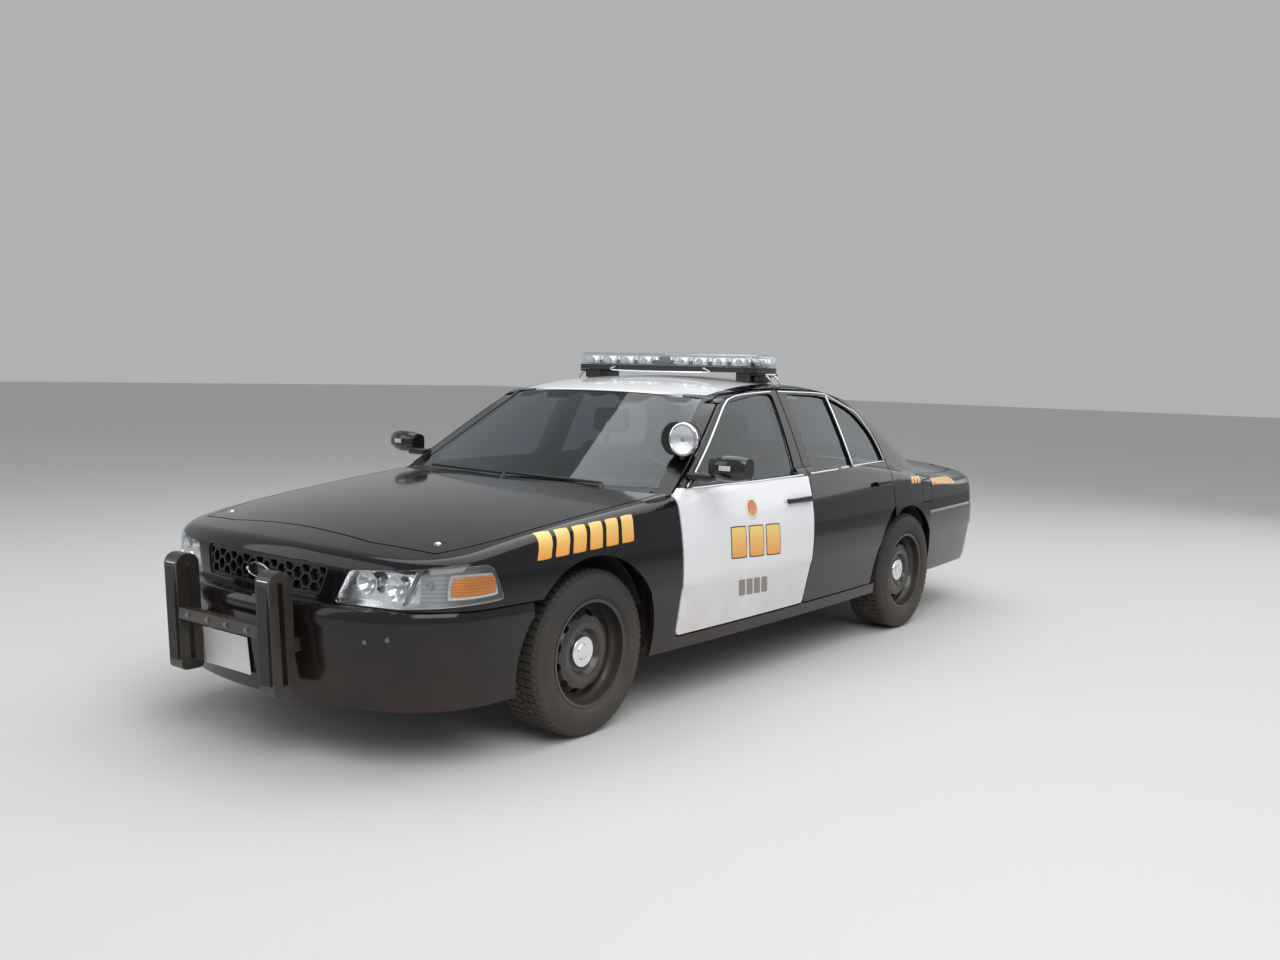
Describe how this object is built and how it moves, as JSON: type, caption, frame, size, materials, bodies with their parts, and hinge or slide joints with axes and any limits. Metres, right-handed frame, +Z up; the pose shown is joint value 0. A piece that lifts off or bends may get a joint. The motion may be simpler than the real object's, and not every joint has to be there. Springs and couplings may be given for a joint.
{
  "type": "police patrol car",
  "caption": "Large four-door patrol sedan with push bumper, roof lightbar and spotlight; doors, lids, wheels and steering move.",
  "frame": {"origin": "on the floor, midway along the overall length and width", "axes": "+X forward, +Y to the car's left, +Z up"},
  "size_m": [5.4844, 2.324, 1.5999],
  "materials": {
    "body_black": "glossy paint",
    "roof_white": "glossy paint",
    "door_white": "glossy paint",
    "bumper_black": "glossy paint on plastic",
    "grille_black": "satin",
    "clear_lens": "clear",
    "red_lens": "clear red",
    "window_glass": "tinted",
    "underbody": "satin",
    "frame_steel": "satin",
    "push_black": "satin powder coat",
    "engine_metal": "rough",
    "core_metal": "matt",
    "exhaust_steel": "satin",
    "tank_plastic": "matt",
    "dash_plastic": "grained",
    "seat_cloth": "woven",
    "bar_clear": "clear",
    "lamp_black": "satin",
    "mirror_black": "gloss",
    "wiper_black": "matt",
    "knuckle_iron": "rough",
    "wheel_black": "satin",
    "tyre": "matt"
  },
  "bodies": {
    "body": {"body_side_left": "body_black", "body_side_right": "body_black", "cowl_panel": "wiper_black", "rear_deck_panel": "body_black", "roof_panel": "roof_white", "floor_pan": "underbody", "firewall": "underbody", "luggage_floor": "underbody", "front_wheel_housings": "underbody", "rear_wheel_housings": "underbody", "fenders": "body_black", "nose_panel": "body_black", "grille": "grille_black", "headlamps": "clear_lens", "tail_lamps": "red_lens", "front_bumper": "bumper_black", "rear_bumper": "bumper_black", "push_bumper": "push_black", "chassis_frame": "frame_steel", "radiator": "core_metal", "engine": "engine_metal", "rear_suspension": "frame_steel", "front_suspension": "frame_steel", "exhaust": "exhaust_steel", "fuel_tank": "tank_plastic", "dashboard": "dash_plastic", "front_seat_left": "seat_cloth", "front_seat_right": "seat_cloth", "rear_seat": "seat_cloth", "lightbar": "bar_clear", "spotlight": "lamp_black", "wipers": "wiper_black", "windshield": "window_glass", "rear_window": "window_glass"},
    "hood": {"hood": "body_black"},
    "trunk_lid": {"trunk_lid": "body_black"},
    "fuel_door": {"fuel_door": "body_black"},
    "steering_wheel": {"steering_wheel": "dash_plastic"},
    "front_door_left": {"front_door_left": "door_white", "front_glass_left": "window_glass", "mirror_left": "mirror_black"},
    "rear_door_left": {"rear_door_left": "body_black", "rear_glass_left": "window_glass"},
    "front_knuckle_left": {"front_knuckle_left": "knuckle_iron"},
    "front_wheel_left": {"front_wheel_left": "wheel_black", "front_tyre_left": "tyre"},
    "rear_wheel_left": {"rear_wheel_left": "wheel_black", "rear_tyre_left": "tyre"},
    "front_door_right": {"front_door_right": "door_white", "front_glass_right": "window_glass", "mirror_right": "mirror_black"},
    "rear_door_right": {"rear_door_right": "body_black", "rear_glass_right": "window_glass"},
    "front_knuckle_right": {"front_knuckle_right": "knuckle_iron"},
    "front_wheel_right": {"front_wheel_right": "wheel_black", "front_tyre_right": "tyre"},
    "rear_wheel_right": {"rear_wheel_right": "wheel_black", "rear_tyre_right": "tyre"}
  },
  "joints": [
    {"name": "front_door_left_hinge", "type": "hinge", "parent": "body", "child": "front_door_left", "pos_m": [1.011, 0.9546, 0.6], "axis": [0, 0, -1], "range_deg": [0, 68]},
    {"name": "rear_door_left_hinge", "type": "hinge", "parent": "body", "child": "rear_door_left", "pos_m": [-0.086, 0.986, 0.6], "axis": [0, 0, -1], "range_deg": [0, 68]},
    {"name": "steering_left", "type": "hinge", "parent": "body", "child": "front_knuckle_left", "pos_m": [1.605, 0.74, 0.345], "axis": [0, 0, 1], "range_deg": [-31, 31]},
    {"name": "front_wheel_left_spin", "type": "hinge", "parent": "front_knuckle_left", "child": "front_wheel_left", "pos_m": [1.605, 0.805, 0.345], "axis": [0, 1, 0], "continuous": true},
    {"name": "rear_wheel_left_spin", "type": "hinge", "parent": "body", "child": "rear_wheel_left", "pos_m": [-1.307, 0.833, 0.345], "axis": [0, 1, 0], "continuous": true},
    {"name": "front_door_right_hinge", "type": "hinge", "parent": "body", "child": "front_door_right", "pos_m": [1.011, -0.9546, 0.6], "axis": [0, 0, 1], "range_deg": [0, 68]},
    {"name": "rear_door_right_hinge", "type": "hinge", "parent": "body", "child": "rear_door_right", "pos_m": [-0.086, -0.986, 0.6], "axis": [0, 0, 1], "range_deg": [0, 68]},
    {"name": "steering_right", "type": "hinge", "parent": "body", "child": "front_knuckle_right", "pos_m": [1.605, -0.74, 0.345], "axis": [0, 0, 1], "range_deg": [-31, 31]},
    {"name": "front_wheel_right_spin", "type": "hinge", "parent": "front_knuckle_right", "child": "front_wheel_right", "pos_m": [1.605, -0.805, 0.345], "axis": [0, 1, 0], "continuous": true},
    {"name": "rear_wheel_right_spin", "type": "hinge", "parent": "body", "child": "rear_wheel_right", "pos_m": [-1.307, -0.833, 0.345], "axis": [0, 1, 0], "continuous": true},
    {"name": "steering_wheel_turn", "type": "hinge", "parent": "body", "child": "steering_wheel", "pos_m": [0.494, 0.37, 0.9], "axis": [-0.9135, 0, 0.4067], "range_deg": [-570, 570]},
    {"name": "hood_hinge", "type": "hinge", "parent": "body", "child": "hood", "pos_m": [1.056, 0, 0.957], "axis": [0, -1, 0], "range_deg": [0, 48]},
    {"name": "trunk_lid_hinge", "type": "hinge", "parent": "body", "child": "trunk_lid", "pos_m": [-1.482, 0, 1.02], "axis": [0, 1, 0], "range_deg": [0, 75]},
    {"name": "fuel_door_hinge", "type": "hinge", "parent": "body", "child": "fuel_door", "pos_m": [-1.547, 0.938, 0.81], "axis": [0, 0, -1], "range_deg": [0, 90]}
  ],
  "couplings": [
    {"joint": "steering_right", "follows": "steering_left", "ratio": 1},
    {"joint": "steering_wheel_turn", "follows": "steering_left", "ratio": 18}
  ]
}
